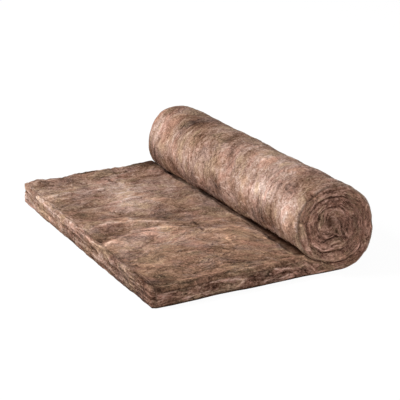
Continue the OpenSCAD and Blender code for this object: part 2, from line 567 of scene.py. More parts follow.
def nick_marks(x, y):
    """Depth and lightness of the nicks."""
    depth, light = np.zeros_like(x), np.zeros_like(x)
    for at_x, at_y, half, deep, tone in NICKS:
        skew = NICK_SKEW * (y - at_y)
        mark = bell(x - skew, at_x, NICK_WIDE) * smoothstep(half, NICK_FULL * half, np.abs(y - at_y))
        depth += deep * mark
        light += tone * mark
    return depth, light


def patch_light(x, y, patches):
    """Lightness of the patches, with ragged edges."""
    ragged_x = x + waves(PATCH_WAVES_X, x, y)
    ragged_y = y + waves(PATCH_WAVES_Y, x, y)
    total = np.zeros_like(x)
    for at_x, at_y, half_x, half_y, tone in patches:
        far = ((ragged_x - at_x) / half_x) ** 2 + ((ragged_y - at_y) / half_y) ** 2
        total += tone * np.exp(-PATCH_FALL * far)
    return total


# The roll by degrees round from the floor. Towards its back end it is drawn in at the front and
# fuller on top, and at its front end it flares a little. It is lighter at its front end, and darker
# at its back end. Where it turns under towards the nip it is painted darker, as shade.
ROLL_DEGREES = np.linspace(345.0, 0.0, 139)
BACK_HILLS = ((205.0, 22.0, 0.004), (256.0, 34.0, -0.012))
BACK_HILLS_Y = (0.30, 0.56)
FLARE_HILLS = ((160.0, 45.0, 0.002),)
FLARE_Y = (-0.560, -0.592)
ROLL_LIGHT = 0.01
ROLL_SLOPES = ((-0.25, -0.50, 0.04), (0.05, 0.40, -0.07))
TURN_UNDER_SHADE = ((262.0, 296.0, -0.20),)


def roll_place(degrees):
    """Length along the outline of a place on the roll, by its angle round from the floor."""
    first = 360.0 - math.degrees(CONTACT_ANGLE)
    front = np.radians(first - np.maximum(degrees, 180.0)) * FRONT_R
    high = np.radians(180.0 - np.clip(degrees, 90.0, 180.0)) * HIGH_R
    low = np.radians(90.0 - np.minimum(degrees, 90.0)) * LOW_R
    return ROLL_START + front + high + low


def roll_wool(along, y):
    """Relief and lightness of the roll's own form and patches, with painted shade where it turns under."""
    degrees = np.interp(along, roll_place(ROLL_DEGREES), ROLL_DEGREES)
    back = smoothstep(*BACK_HILLS_Y, y) * hills(BACK_HILLS, degrees)
    flare = smoothstep(*FLARE_Y, y) * hills(FLARE_HILLS, degrees)
    patches = [
        (roll_place(at), at_y, math.radians(half) * FRONT_R, half_y, tone)
        for at, at_y, half, half_y, tone in ROLL_PATCHES
    ]
    light = ROLL_LIGHT + ROLL_GAIN * patch_light(along, y, patches)
    return back + flare, light + slopes(ROLL_SLOPES, y) + slopes(TURN_UNDER_SHADE, degrees)


# Layers of noise that make the wool lumpy and uneven: wavelengths along and across in metres, the
# height and the lightness each adds, whether it follows the drift of the fibres, and how large the
# patches are in which it comes and goes
Layer = namedtuple("Layer", "seed long wide relief light drifts patches", defaults=(False, None))
SHEET_LAYERS = (
    Layer(1, 0.26, 0.15, 0.0035, 0.00),
    Layer(3, 0.075, 0.055, 0.0026, 0.05),
    Layer(4, 0.15, 0.020, 0.0012, 0.12, True, 0.09),
    Layer(5, 0.06, 0.011, 0.0008, 0.12, True, 0.065),
    Layer(76, 0.020, 0.016, 0.0009, 0.08),
    Layer(8, 0.15, 0.13, 0.0, 0.08),
    Layer(9, 0.06, 0.05, 0.0, 0.08),
)
END_LAYERS = (
    Layer(24, 0.022, 0.007, 0.0014, 0.12),
    Layer(25, 0.05, 0.030, 0.0030, 0.09),
    Layer(27, 0.011, 0.010, 0.0010, 0.16),
    Layer(28, 0.10, 0.060, 0.0, 0.08),
)
LAYER_PATCHES = (-0.4, 0.5)
LAYER_PATCHES_SEED = 100
# Relief and lightness of folds, flakes and creases. Folds and flakes are painted lighter where they
# are lifted and darker where they sink, as light and shade. Creases are painted darker, as shade in
# them, and more so on the laid blanket.
FOLD_GAINS = (0.004, 0.03)
FLAKE_GAINS = (0.0030, 0.19)
CREASE_GAINS = (-0.0022, -0.26)
CREASE_ROLL_LIGHT = -0.14
CREASE_SEED = 85
CREASE_LONG = 0.11
CREASE_WIDE = 0.045
CREASE_SHARP = 6
CREASE_SHOWN = Patches(86, -0.1, 0.5, 0.14, 0.12)


def layered(layers, along, y, drift):
    """Relief and lightness of several layers of noise."""
    relief, light = np.zeros_like(along), np.zeros_like(along)
    for layer in layers:
        value = noise(along / layer.long, (drift if layer.drifts else y) / layer.wide, seed=layer.seed)
        if layer.patches:
            seed = layer.seed + LAYER_PATCHES_SEED
            value *= patchy(Patches(seed, *LAYER_PATCHES, layer.patches, layer.patches), along, y)
        relief += layer.relief * value
        light += layer.light * value
    return relief, light


def weighed(*parts):
    """Relief and lightness of several values, each with its gains for the two."""
    return tuple(sum(gains[i] * value for value, gains in parts) for i in (0, 1))


def loose_wool(along, y, on_roll):
    """Relief and lightness of what the wool has everywhere: lumps, folds, flakes and creases."""
    drift = flow(along, y)
    relief, light = layered(SHEET_LAYERS, along, y, drift)
    crease = ridged(along / CREASE_LONG, drift / CREASE_WIDE, seed=CREASE_SEED) ** CREASE_SHARP
    crease = crease * patchy(CREASE_SHOWN, along, y)
    crease_gains = (CREASE_GAINS[0], np.where(on_roll, CREASE_ROLL_LIGHT, CREASE_GAINS[1]))
    fold, flake = overlaps(FOLDS, along, drift), overlaps(FLAKES, along, drift)
    more, lighter = weighed((fold, FOLD_GAINS), (flake, FLAKE_GAINS), (crease, crease_gains))
    return relief + more, light + lighter


# The laid blanket's corners at the cut end, the back one fuller and the front one sunk: place across
# the width, reach along and across, and height. Its form is fainter near the back corner.
CORNERS = ((0.6, 0.30, 0.22, 0.008), (-0.6, 0.24, 0.26, -0.010))
FORM_LEAST = 0.45
FORM_Y = (0.2, 0.5)
FORM_X = (0.12, 0.0)
# Bumps along the back edge, and small tufts on the edge itself
BUMPS = (Wave(95, 0.005, 0.085, 0.3), Wave(98, 0.004, 0.034, 0.3))
BUMPS_Y = (0.50, 0.59)
TUFTS = (Wave(88, 0.0035, 0.017, 0.05),)
TUFTS_Y = (0.565, 0.59)
# Towards the front the blanket is pressed down before the roll
SUNK = 0.010
SUNK_Y = (0.25, -0.45)
SUNK_X = (0.46, 0.58)
# Its lightness, which rises a little to the front and falls in patches along the back edge
LAID_LIGHT = -0.035
LAID_SLOPES = ((0.0, -0.4, 0.015),)
BACK_EDGE_SLOPES = ((0.566, 0.590, -0.50),)
BACK_EDGE_SHOWN = Patches(99, -0.6, 0.3, 0.05, 0.2)


def corner_sag(x, y):
    """Height of the corners at the cut end against the rest of the laid blanket."""
    return sum(high * bell(x, 0.0, long) * bell(y, at_y, wide) for at_y, long, wide, high in CORNERS)


def laid_wool(x, y):
    """Relief and lightness of the laid blanket's own form and marks, at a distance x from the cut end."""
    ridge, ridge_light = ridge_marks(x, y)
    nick, nick_light = nick_marks(x, y)
    form = ridge + corner_sag(x, y)
    form = form * mix(1.0, FORM_LEAST, smoothstep(*FORM_Y, y) * smoothstep(*FORM_X, x))
    bumps = waves(BUMPS, x, y) * smoothstep(*BUMPS_Y, y) + waves(TUFTS, x, y) * smoothstep(*TUFTS_Y, y)
    sunk = SUNK * smoothstep(*SUNK_Y, y) * smoothstep(*SUNK_X, x) * (1.0 - front_end(y))
    light = LAID_LIGHT + SHEET_GAIN * (patch_light(x, y, SHEET_PATCHES) + ridge_light + nick_light)
    light += slopes(LAID_SLOPES, y) + slopes(BACK_EDGE_SLOPES, y) * patchy(BACK_EDGE_SHOWN, x, y)
    return form + bumps - sunk - nick, light


# Length and width of the fine layers along an edge
LAYER_LONG = 0.20
LAYER_WIDE = 0.019
# Near the laid blanket's long edges they take over in part, and the front rim is painted darker up
# to the roll, as shade on its rounded edge.
EDGE_SEED = 77
EDGE_MEAN = 0.4
EDGE_IN = (0.03, -0.004)
EDGE_KEEPS = (0.7, 0.5)
EDGE_GAINS = (0.0026, 0.34)
RIM_SHADE = 0.30
RIM_SHADE_IN = (0.016, -0.006)
RIM_SHADE_Y = (0.0, -0.5)
RIM_FADE = 0.9
RIM_FADE_X = (0.26, 0.42)


def edge_layers(along, edge, seed):
    """Fine layers that run along an edge of the blanket: 1 on the crest of each."""
    sway = (Wave(seed, 0.008, 0.09, 0.05), Wave(seed + 2, 0.003, 0.03, 0.03))
    swayed = edge + waves(sway, along, edge)
    return ridged(along / LAYER_LONG, swayed / LAYER_WIDE, seed=seed + 1) ** 2


def sheet_wool(along, y, edge):
    """Relief and lightness of the wool on the laid top and round the roll."""
    x = along - TOP_START + SHOULDER_R
    on_roll = along >= ROLL_START
    looks = []
    for loose, laid, rolled in zip(loose_wool(along, y, on_roll), laid_wool(x, y), roll_wool(along, y)):
        looks.append(loose + np.where(on_roll, rolled, laid))
    layer = edge_layers(along, edge, EDGE_SEED) - EDGE_MEAN
    near_edge = np.where(on_roll, 0.0, smoothstep(*EDGE_IN, edge))
    relief, light = (
        mix(look, keeps * look + gain * layer, near_edge)
        for look, keeps, gain in zip(looks, EDGE_KEEPS, EDGE_GAINS)
    )
    rim = np.where(on_roll, 0.0, smoothstep(*RIM_SHADE_IN, edge)) * smoothstep(*RIM_SHADE_Y, y)
    return relief, light - RIM_SHADE * rim * (1.0 - RIM_FADE * smoothstep(*RIM_FADE_X, x))


# The cut end has layers across the width, with pillows and shreds, a lip under its upper edge and a
# split in the middle: each with its seed and sizes, or its place and half height, and its relief and
# lightness
CUT_SWAY = (Wave(81, 0.005, 0.10), Wave(82, 0.003, 0.035))
PILLOWS = (Wave(79, 1.0, 0.05, 0.05),)
PILLOW_GAINS = (0.0025, 0.06)
CUT_SEED = 80
CUT_MEAN = 0.3
CUT_LAYER_GAINS = (0.0026, 0.50)
SHREDS = (Wave(7, 1.0, 0.03, 0.007),)
SHRED_GAINS = (0.001, 0.14)
CUT_LIP = (0.014, 0.007)
CUT_LIP_SHARE = 0.6
CUT_LIP_WAVES = (Wave(83, 0.6, 0.08),)
CUT_LIP_Y = (-0.58, -0.42)
CUT_LIP_GAINS = (0.002, 0.13)
# The split is painted darker, as shade in it
SPLIT = (0.040, 0.0035)
SPLIT_WAVES = (Wave(84, 1.0, 0.14),)
SPLIT_BACKWARD = 0.8
SPLIT_SHOWN = (-0.3, 0.4)
SPLIT_GAINS = (-0.003, -0.34)
# Painted shade: it is darker as a whole, at the foot where a shadow falls by the floor, towards the
# front, in one place where a bulge catches the light, and at the front upper corner
CUT_SHADE = -0.08
CUT_FOOT_SHADOW = ((0.030, 0.0, -0.30),)
CUT_SHADE_ACROSS = ((0.2, 0.0, -0.05), (-0.15, -0.55, -0.18))
CUT_BULGE_SHADE = ((-0.2, 0.1, -0.09),)
CUT_CORNER_SHADE = ((-0.50, -0.57, -0.26),)
CUT_CORNER_DOWN = (0.035, 0.010)
# Where the cut end's wool gives way to the laid top's, round the shoulder
SHOULDER_BLEND = (-0.016, 0.03)


def cut_shade(along, y):
    """Painted shade on the cut end: how much darker it is from place to place."""
    across = slopes(CUT_SHADE_ACROSS, y) + hills(CUT_BULGE_SHADE, y)
    front_top = slopes(CUT_CORNER_SHADE, y) * smoothstep(*CUT_CORNER_DOWN, TOP_START - along)
    return CUT_SHADE + slopes(CUT_FOOT_SHADOW, along - CUT_START) + across + front_top


def cut_wool(along, y):
    """Relief and lightness of the cut end, whose layers run across the width."""
    from_top = TOP_START - along
    sway = from_top + waves(CUT_SWAY, y)
    lip = bell(sway, *CUT_LIP) * (CUT_LIP_SHARE + waves(CUT_LIP_WAVES, y)) * smoothstep(*CUT_LIP_Y, y)
    split = bell(sway, *SPLIT) * smoothstep(*SPLIT_SHOWN, waves(SPLIT_WAVES, y) + SPLIT_BACKWARD * y)
    relief, light = weighed(
        (waves(PILLOWS, y, from_top), PILLOW_GAINS),
        (edge_layers(y, from_top, CUT_SEED) - CUT_MEAN, CUT_LAYER_GAINS),
        (waves(SHREDS, y, along), SHRED_GAINS),
        (lip, CUT_LIP_GAINS),
        (split, SPLIT_GAINS),
    )
    return relief, light + cut_shade(along, y)


def lumps(along, y, edge):
    """How far the wool stands proud of its plain outline at each place, and how light it is there."""
    share = smoothstep(*SHOULDER_BLEND, along - TOP_START)
    share = np.where(along < CUT_START, 0.0, share)
    return (mix(cut, sheet, share) for cut, sheet in zip(cut_wool(along, y), sheet_wool(along, y, edge)))


# Ragged places where the lower edges stand off the floor, away from the roll
LIFT_Z = (0.030, 0.0)
LIFT_DX = (0.10, 0.20)
LIFT_FROM_CUT = (0.18, 0.32)
LIFT_LONG = (Wave(44, 0.004, 0.10), Wave(45, 0.003, 0.04))
LIFT_CUT = (Wave(46, 0.003, 0.11), Wave(47, 0.003, 0.04))
# How far the back corner of the cut end stands up, and how far that reaches
CORNER_LIFT = 0.008
CORNER_LONG = 0.06
CORNER_Z = (0.03, 0.07)
CORNER_Y = (0.50, 0.60)
# How proud the roll's wool may stand in the nip, and the laid top's gap under the roll
NIP_PROUD = 0.001
UNDER_GAP = 0.0025
UNDER_SOFT = 0.001
# How far the straying of the cut end and of the long edges reaches into the blanket
CUT_SHIFT_IN = (0.15, 0.0)
EDGE_SHIFT_IN = 0.12


def width_rows():
    """Places across the width, each with its share of the way round the rim at that end."""
    flat_end = END_Y - RIM_TOP
    count = int(round(2 * flat_end / ROW_STEP)) + 1
    turn = np.linspace(0.0, math.pi / 2, RIM_STEPS + 1)[1:]
    ends = np.full(RIM_STEPS, END_Y)
    place = np.concatenate([-ends, np.linspace(-flat_end, flat_end, count), ends])
    return place, np.concatenate([turn[::-1], np.zeros(count), turn])


def lower_edge_lift(x, y, on_rim):
    """How far the lower edges of the laid stretch stand off the floor, in ragged places."""
    laid = ~(ON_ROLL | ON_TOP) * smoothstep(*LIFT_Z, OUT_Z) * smoothstep(*LIFT_DX, AXIS_X - x)
    by_length = waves(LIFT_LONG, x, ROW * np.sign(y)) * smoothstep(*LIFT_FROM_CUT, x - CUT_X)
    at_end = on_rim * np.maximum(by_length, 0.0)
    at_cut = ON_CUT * np.maximum(waves(LIFT_CUT, y), 0.0)
    return laid * np.maximum(at_end, at_cut)


def corner_lift(y):
    """How far the back corner of the cut end stands up."""
    by_length = bell(OUT_X, CUT_X, CORNER_LONG) * smoothstep(*CORNER_Z, OUT_Z)
    return CORNER_LIFT * by_length * smoothstep(*CORNER_Y, y)


def blanket_grid():
    """Corners of the swept skin, as rows across the width by points round the outline."""
    place, rim = (row[:, None] for row in width_rows())
    side, on_rim = np.sign(place), rim > 0
    size = RIM * np.where((side > 0) & ~ON_ROLL, BACK_RIM, 1.0)
    y = np.where(on_rim, side * (END_Y - size * (1.0 - np.sin(rim))), place)
    inset = np.where(on_rim, size * (1.0 - np.cos(rim)), 0.0)
    edge = np.where(on_rim, -size * rim, END_Y - RIM_TOP - np.abs(place))
    proud, light = lumps(np.broadcast_to(ALONG, y.shape), y, edge)
    offset = FREE * proud + SHARP * TO_SQUARE * smoothstep(*SHARP_Y, y) - inset
    offset = np.where(IN_NIP & ON_ROLL, np.minimum(offset, NIP_PROUD), offset) - undercut(y)
    x = OUT_X + OUT_NORMAL[:, 0] * offset
    z = OUT_Z + OUT_NORMAL[:, 1] * offset + NIP_FILL * np.maximum(front_end(y), nip_closed(y))
    z = np.where(ON_TOP, soft_min(z, roll_under(AXIS_X - x) - inset - UNDER_GAP, UNDER_SOFT), z)
    z = z + lower_edge_lift(x, y, on_rim) + corner_lift(y)
    x = x - ~ON_ROLL * smoothstep(*CUT_SHIFT_IN, OUT_X - CUT_X) * cut_shift(y)
    near_end = smoothstep(END_Y - EDGE_SHIFT_IN, END_Y - RIM_TOP, np.abs(y))
    y = y + side * near_end * edge_shift(LENGTH, side)
    return np.stack([x, y, np.maximum(z, 0.0)], axis=2), light


GRID, GRID_LIGHT = blanket_grid()
GRID_Y = GRID[:, :, 1]
ROWS, COLUMNS = GRID_Y.shape

# Faces that close the two ends: steps between their places, and how near to the rim and to the
# roll's middle these come
END_STEP = 0.0036
DEPTH_STEP = 0.0027
END_MARGIN = 0.0022
CORE_PHI = 6.7 * math.pi
CORE_R = 0.004
CORE_STEP_R = 0.012
WELD = 1e-7
# Row of the noises on each end, and how far apart along them the two ends are
END_ROW = 3.0
END_APART = 9.0
# Grooves between the turns, and how far the wool swells out between them. The grooves are also
# painted dark, as shade in them.
GROOVE = 0.009
GROOVE_WIDE = 0.0032
GROOVE_LEAST = 0.35
GROOVE_OPEN = Patches(21, -0.5, 0.7, 0.07)
BULGE = 0.004


def strip_of_turns():
    """Places on the end of the roll, with the length along the blanket, the depth and the thickness."""
    rows = []
    for depth in np.arange(0.0, PITCH - TINY, DEPTH_STEP):
        phi = 0.0
        while phi < CORE_PHI:
            radius, turn = turn_arc(phi)[2:]
            inner = float(radius - turn * PITCH - depth)
            if inner > CORE_R:
                x, z = winding_point(phi, depth)
                rows.append((float(x), float(z), float(wound_length(phi)), depth, PITCH))
            phi += END_STEP / max(inner, CORE_STEP_R)
        rows += flat_rows(depth)
    return rows


def flat_rows(depth):
    """Places on the flats under each turn of the roll, at one depth."""
    rows = []
    for turn in range(math.ceil(CORE_PHI / TURN)):
        z = turn * PITCH + depth
        if z < LOW_R - CORE_R:
            start = float(wound_length(TURN * turn)) - FLAT
            for step in np.arange(END_STEP / 2, FLAT, END_STEP):
                rows.append((float(settled(AXIS_X + step, z)), z, start + step, depth, PITCH))
    return rows


def laid_thickness(x):
    """Thickness of the laid blanket at x, up to the roll where they touch."""
    return np.where(AXIS_X - x < CONTACT_DX, roll_under(AXIS_X - x), laid_top(x))


def strip_of_sheet(side):
    """Places on the long edge of the laid blanket, from the cut end to under the roll's axis."""
    rows = []
    across = np.arange(CUT_X, AXIS_X, END_STEP)
    tops = laid_thickness(across) + (nip_fill(across) if side < 0 else 0.0)
    for x, top in zip(across, tops):
        for depth in np.linspace(0.0, top, int(round(top / DEPTH_STEP)) + 1)[1:-1]:
            rows.append((x, top - depth, x - CUT_X, depth, top))
    return rows


def inside_by(points, loop, margin):
    """Which points lie inside a closed loop and at least the margin away from it, and how far away."""
    x, z = points[:, 0][:, None], points[:, 1][:, None]
    x0, z0 = loop.T
    x1, z1 = np.roll(loop, -1, axis=0).T
    dx, dz = x1 - x0, z1 - z0
    spans = (z0 > z) != (z1 > z)
    crossing = spans & (x < dx * (z - z0) / np.where(dz == 0, 1.0, dz) + x0)
    inside = crossing.sum(axis=1) % 2 == 1
    share = np.clip(((x - x0) * dx + (z - z0) * dz) / np.maximum(dx**2 + dz**2, TINY), 0.0, 1.0)
    gap = np.hypot(x - (x0 + share * dx), z - (z0 + share * dz)).min(axis=1)
    return inside & (gap > margin), gap


# What differs between the end of the roll and the long edge of the laid stretch: the sway and width
# of the layers, the depth of the seams between them, and how light layers, skin and all are
EndLook = namedtuple("EndLook", "sway layer_wide seam_deep layer_light skin_light seam_light light")
# The seams between layers are painted darker, as shade in them, and the laid edge is painted darker as a
# whole, as shade
ROLL_END = EndLook(0.003, 0.021, 0.001, 0.34, 0.32, -0.18, -0.01)
LAID_END = EndLook(0.005, 0.026, 0.003, 0.40, 0.20, -0.22, -0.08)
# Before the roll the laid edge sways more, and its layers are lighter
MORE_SWAY = 0.009
MORE_SWAY_AT = (0.34, 0.52)
NEAR_ROLL = (0.40, 0.52)
NEAR_LAYERS = 0.30
NEAR_LIGHT = 0.14
# Length, width and seed of the sway. Then length, seed and sharpness of the layers, and length,
# width, seed and sharpness of the seams and of the thin layers
END_SWAY = (0.055, 0.04, 26)
LAYERS = (0.16, 23, 3)
SEAMS = (0.20, 0.024, 35, 4)
THIN = (0.13, 0.013, 36, 5)
# Height of the layers, what is taken off them for height and for lightness, and how light the thin
# layers are away from the roll and near it
LAYER_RISE = 0.002
LAYER_MEANS = (0.3, 0.2)
THIN_LIGHT = (0.18, 0.42)
THIN_MEAN = 0.15
# The skin just under the outer face of the blanket
SKIN = (0.0065, 0.0028)
SKIN_SHOWN = Patches(29, -0.2, 0.5, 0.10)
SKIN_RISE = 0.0015
# Light and dark along the laid edge: a pale layer by the cut end, whose surroundings are darker, a
# paler stretch further on, and a dark foot, partly darker bottom layers and partly a painted contact
# shadow by the floor
CORNER_LAYER = (0.036, 0.009, 0.12)
CORNER_LAYER_AT = (0.22, 0.12)
CORNER_SLOPE = (0.20, 0.10, -0.14)
PALE_STRETCH = (0.30, 0.07, 0.10)
EDGE_FOOT = (0.0, 0.010, -0.26)


def laid_edge_light(length, depth, thick):
    """Lightness of the laid blanket's long edge from place to place."""
    by_corner = hills([CORNER_LAYER], depth) * smoothstep(*CORNER_LAYER_AT, length)
    by_length = slopes([CORNER_SLOPE], length) + hills([PALE_STRETCH], length)
    return by_corner + by_length + hills([EDGE_FOOT], thick - depth)


def end_relief(length, depth, thick, in_roll, free_top, side):
    """How far the end of the blanket stands proud at each place, how light it is, and how much painted shade
    its grooves take.
    """
    row = END_ROW * side
    look = EndLook(*(np.where(in_roll, roll, laid) for roll, laid in zip(ROLL_END, LAID_END)))
    opening = mix(GROOVE_LEAST, 1.0, patchy(GROOVE_OPEN, length, row))
    groove = np.where(free_top, 0.0, bell(np.minimum(depth, thick - depth), 0.0, GROOVE_WIDE) * opening)
    near_roll = ~in_roll * smoothstep(*NEAR_ROLL, length)
    sway_long, sway_wide, sway_seed = END_SWAY
    swings = look.sway + ~in_roll * MORE_SWAY * smoothstep(*MORE_SWAY_AT, length)
    sway = depth + swings * noise(length / sway_long, depth / sway_wide, row, seed=sway_seed)

    def lines(long, wide, seed, sharp):
        return ridged(length / long, sway / wide, row, seed=seed) ** sharp

    layer = lines(LAYERS[0], look.layer_wide, *LAYERS[1:])
    seam, thin = lines(*SEAMS), lines(*THIN)
    skin = bell(depth, *SKIN) * patchy(SKIN_SHOWN, length, row)
    relief, light = layered(END_LAYERS, length + END_APART * side, depth, depth)
    relief += BULGE * (1.0 - (2.0 * depth / thick - 1.0) ** 2) - GROOVE * groove
    relief += LAYER_RISE * (layer - LAYER_MEANS[0]) + SKIN_RISE * skin - look.seam_deep * seam
    light += (look.layer_light + NEAR_LAYERS * near_roll) * (layer - LAYER_MEANS[1])
    light += look.skin_light * skin + look.seam_light * seam + look.light + NEAR_LIGHT * near_roll
    light += mix(*THIN_LIGHT, near_roll) * (thin - THIN_MEAN)
    return relief, light + ~in_roll * laid_edge_light(length, depth, thick), groove


# How far the turns wander in the plane of the end, and how much more near the middle of the roll
WANDER = 0.0050
WANDER_CORE = 0.011
WANDER_CORE_R = (0.10, 0.03)
WANDER_SIZES = (0.062, 0.024)
WANDER_SEEDS = (31, 32)
SMALL_SHARE = 0.45
SMALL_SEED = 2
# The lowest turn has sunk: how far, at what height and from where on
TURN_SUNK = ((0.058, 0.045, 0.012),)
TURN_SUNK_X = (-0.13, -0.07)
# How far from the rim the relief and the wandering come in
RELIEF_IN = (0.0, 0.009)
WANDER_IN = (0.0, 0.030)


def wander(x, z, side):
    """Sideways drift of the turns in the plane of the end, wilder near the middle of the roll."""
    from_middle = np.hypot(x - AXIS_X - FLAT / 4, z - FRONT_Z)
    size = WANDER + WANDER_CORE * smoothstep(*WANDER_CORE_R, from_middle)
    wide, small = ((x / length, z / length, END_ROW * side) for length in WANDER_SIZES)
    drift_x, drift_z = (
        noise(*wide, seed=seed) + SMALL_SHARE * noise(*small, seed=seed + SMALL_SEED) for seed in WANDER_SEEDS
    )
    sunk = smoothstep(*TURN_SUNK_X, x - AXIS_X) * hills(TURN_SUNK, z)
    return size * drift_x, size * drift_z - sunk


def end_surface(places, gap, in_roll, side):
    """Where places on an end come to lie once they are lumpy. A place is x, z, length, depth, thickness."""
    x, z, length, depth, thick = places.T
    free, loose = smoothstep(*RELIEF_IN, gap), smoothstep(*WANDER_IN, gap)
    move_x, move_z = wander(x, z, side)
    free_top = ~in_roll & (AXIS_X - x > CONTACT_DX)
    height, light, groove = end_relief(length, depth, thick, in_roll, free_top, side)
    y = side * (END_Y + edge_shift(length, side) + height * free)
    return np.stack([x + move_x * loose, y, z + move_z * loose], axis=1), light, groove * free


def end_loop(side):
    """The rim of the swept skin at one end, seen from the side."""
    return GRID[0 if side < 0 else -1][:, [0, 2]]


def end_run(places, side):
    """The run of the wool at places on an end."""
    return np.stack([places[..., 2], side * (END_Y + places[..., 3]), np.zeros(places.shape[:-1])], axis=-1)


# How much of the warm and tan tints the wool takes: on the ends, and towards the front of the laid
# blanket. On the end faces and the strands on them, the warm tint is painted shade colour: the
# deeper red of wool in shade.
ROLL_END_WARM = 0.8
LAID_END_WARM = 0.5
WARM_SLOPES = ((-0.05, -0.50, 0.20),)
TAN_SLOPES = ((0.35, -0.45, 0.65),)


def end_face(side):
    """The face that closes one end: its own corners, the numbers of all its corners, and its triangles."""
    loop = end_loop(side)
    turns, sheet = strip_of_turns(), strip_of_sheet(side)
    places = np.array(turns + sheet)
    in_roll = np.arange(len(places)) < len(turns)
    keep, gap = inside_by(places[:, :2], loop, END_MARGIN)
    places = places[keep]
    surface, light, groove = end_surface(places, gap[keep], in_roll[keep], side)
    flat = np.concatenate([loop, surface[:, [0, 2]]])
    edges = [(i, (i + 1) % COLUMNS) for i in range(COLUMNS)]
    made, _, triangles, origin = delaunay_2d_cdt([Vector(p) for p in flat], edges, [], 1, WELD)[:4]
    if len(made) != len(flat):
        raise RuntimeError(f"the end on side {side} crosses itself")
    part = {
        "corner": surface,
        "wool": end_run(places, side),
        "tone": light,
        "crevice_shade": groove,
        "warm": np.where(places[:, 0] > AXIS_X - ROLL_R, ROLL_END_WARM, LAID_END_WARM),
        "tan": np.zeros(len(places)),
    }
    return part, np.array([o[0] for o in origin]), triangles


# Shade in the nip, as pairs for the back and the front: how far the dark reaches before the axis,
# and how far and how strongly the laid top is dimmed before it. Then the same under the lip, and
# how much is added near the back end and taken away where the nip is closed.
SHADE_Z = 0.13
SHADE_Y = (0.30, -0.42)
SHADE_WAVES = (Wave(96, 0.010, 0.045), Wave(97, 0.005, 0.015))
DARK_DX = (0.058, 0.112)
DIM_DX = (0.115, 0.185)
DIM = (0.30, 0.46)
DIM_FADE = (1.0, 0.05)
UNDER_LIP = (0.45, 0.96)
UNDER_LIP_Y = (0.42, 0.05)
UNDER_LIP_IN = (0.004, -0.008)
SHADE_BACK_Y = (0.42, 0.56)
BACK_DIM_DX = 0.04
BACK_DIM = 0.25
BACK_UNDER_LIP = 0.85
CLOSED_DIM = 0.6
CLOSED_UNDER_LIP = 0.5
FRONT_END_SHADE = 0.75
# The pale ragged line where the roll's lip catches the light: its place and half width
LIP_LINE = (0.006, 0.005)
LIP_LIGHT = 0.24
LIP_SHOWN = Patches(59, -0.15, 0.35, 0.07)


def nip_shade():
    """How much painted shade each place of the swept skin takes in the nip. The nip gapes wider towards the
    front.
    """
    y = GRID_Y
    to_front, at_back, closed = smoothstep(*SHADE_Y, y), smoothstep(*SHADE_BACK_Y, y), nip_closed(y)
    dx = BEFORE_AXIS + waves(SHADE_WAVES, y)
    deep = smoothstep(mix(*DARK_DX, to_front), CONTACT_DX, dx)
    dim_dx = mix(*DIM_DX, to_front) + BACK_DIM_DX * at_back
    dim = (mix(*DIM, to_front) + BACK_DIM * at_back) * smoothstep(*DIM_FADE, dx / dim_dx)
    strength = np.maximum(mix(*UNDER_LIP, smoothstep(*UNDER_LIP_Y, y)), BACK_UNDER_LIP * at_back)
    under = strength * smoothstep(*UNDER_LIP_IN, BEFORE_AXIS - roll_lip(y))
    shade = np.where(ON_TOP, dim * (1.0 - CLOSED_DIM * closed), under * (1.0 - CLOSED_UNDER_LIP * closed))
    shade = np.maximum(deep, shade) * (1.0 - FRONT_END_SHADE * front_end(y))
    return np.where(BY_ROLL & (OUT_Z < SHADE_Z), shade, 0.0)


def lip_light():
    """The pale ragged line where the roll's lip catches the light."""
    line = bell(BEFORE_AXIS - roll_lip(GRID_Y), *LIP_LINE) * patchy(LIP_SHOWN, GRID_Y)
    return np.where(BY_ROLL & ON_ROLL & (OUT_Z < SHADE_Z), LIP_LIGHT * line, 0.0)


def skin_part():
    """Corners of the swept skin, with the run, lightness, painted crevice shade and tints of its wool."""
    along = np.broadcast_to(ALONG, (ROWS, COLUMNS))
    run = np.stack([along, flow(along, GRID_Y), np.zeros_like(along)], axis=2)
    run[:, ON_CUT] = run[:, ON_CUT][:, :, [1, 0, 2]]
    return {
        "corner": GRID.reshape(-1, 3),
        "wool": run.reshape(-1, 3),
        "tone": (GRID_LIGHT + lip_light()).ravel(),
        "crevice_shade": nip_shade().ravel(),
        "warm": (~ON_ROLL * slopes(WARM_SLOPES, GRID_Y)).ravel(),
        "tan": (ON_TOP * slopes(TAN_SLOPES, GRID_Y)).ravel(),
    }


def closed_mesh():
    """All corners and faces of the blanket, and the values at its corners by name."""
    index = np.arange(ROWS * COLUMNS).reshape(ROWS, COLUMNS)
    a, b = index[:-1], index[1:]
    quads = np.stack([a, np.roll(a, -1, axis=1), np.roll(b, -1, axis=1), b], axis=2)
    faces = quads.reshape(-1, 4).tolist()
    parts = [skin_part()]
    for rim, side in ((index[0], -1.0), (index[-1], 1.0)):
        part, number, triangles = end_face(side)
        first = sum(len(p["tone"]) for p in parts)
        target = np.concatenate([rim, first + np.arange(len(part["tone"]))])[number]
        for triangle in triangles:
            ids = [int(target[i]) for i in triangle]
            faces.append(ids if side < 0 else ids[::-1])
        parts.append(part)
    values = {key: np.concatenate([part[key] for part in parts]) for key in parts[0]}
    return values.pop("corner"), faces, values


# Loose strands of wool: each is a closed spindle with a three-sided section, lying on the surface
STRAND_POINTS = 8
STRAND_RINGS = STRAND_POINTS - 2
STRAND_CORNERS = 3 * STRAND_RINGS + 2
SHARES = np.linspace(0.0, 1.0, STRAND_POINTS)
# Strands lie in bundles, and their lengths, headings, bends and turns vary
BUNDLE = 5
LENGTH_SPREAD = 0.45
HEADING_SPREAD = 0.15
BEND_SPREAD = 0.6
CURL_TURNS = (0.4, 1.3)
